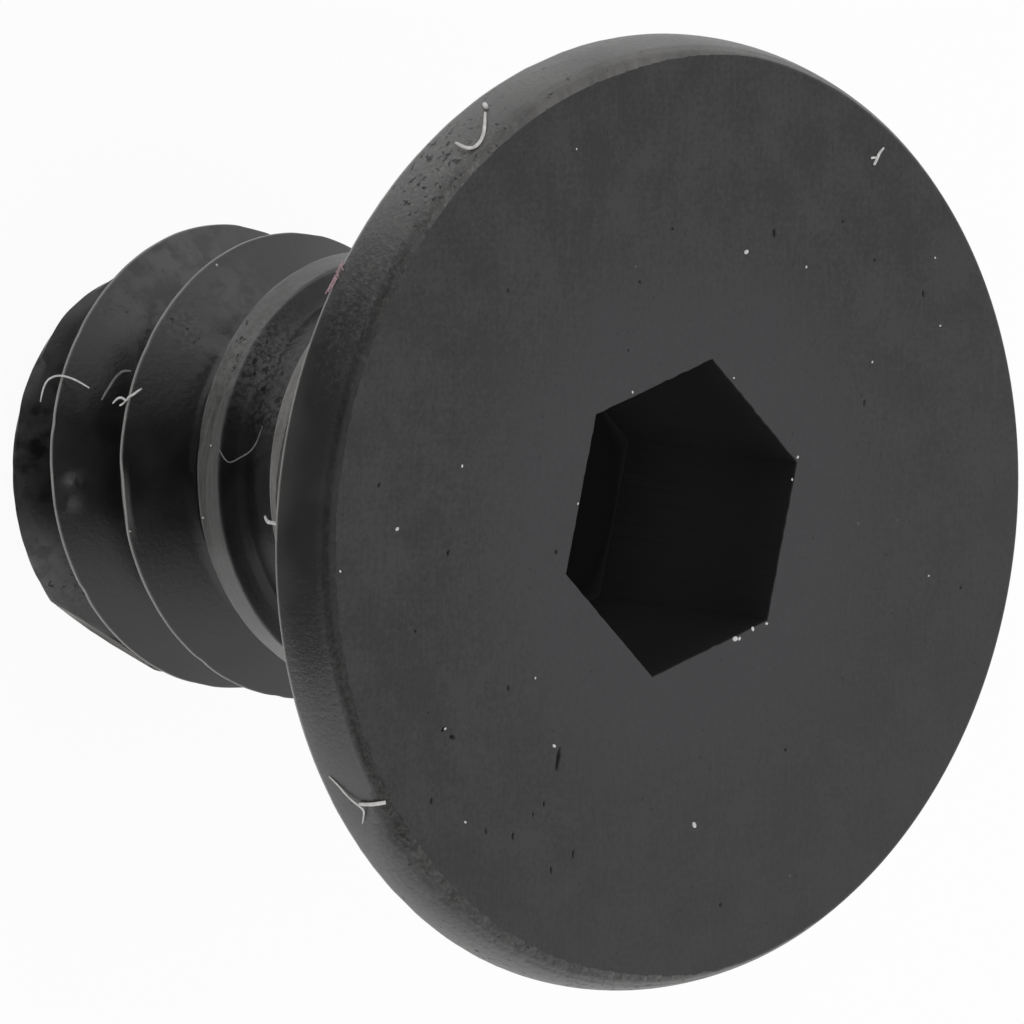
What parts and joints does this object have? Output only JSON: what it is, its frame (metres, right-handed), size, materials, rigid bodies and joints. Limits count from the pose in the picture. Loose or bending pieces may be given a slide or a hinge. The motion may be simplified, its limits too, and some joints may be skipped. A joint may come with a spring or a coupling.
{
  "type": "flat countersunk socket head screw",
  "caption": "Short countersunk head machine screw with a flat face, a hex socket, a full thread running up to a thinner neck, and a chamfered point.",
  "frame": {"origin": "centre of the flat end of the point, which the screw stands on", "axes": "+Z along the screw's axis from the point to the face of the head; +X through one corner of the hex socket"},
  "size_m": [0.0068, 0.0068, 0.0061],
  "materials": {
    "black_oxide_steel": "satin"
  },
  "bodies": {
    "root": {"screw": "black_oxide_steel"}
  },
  "joints": []
}
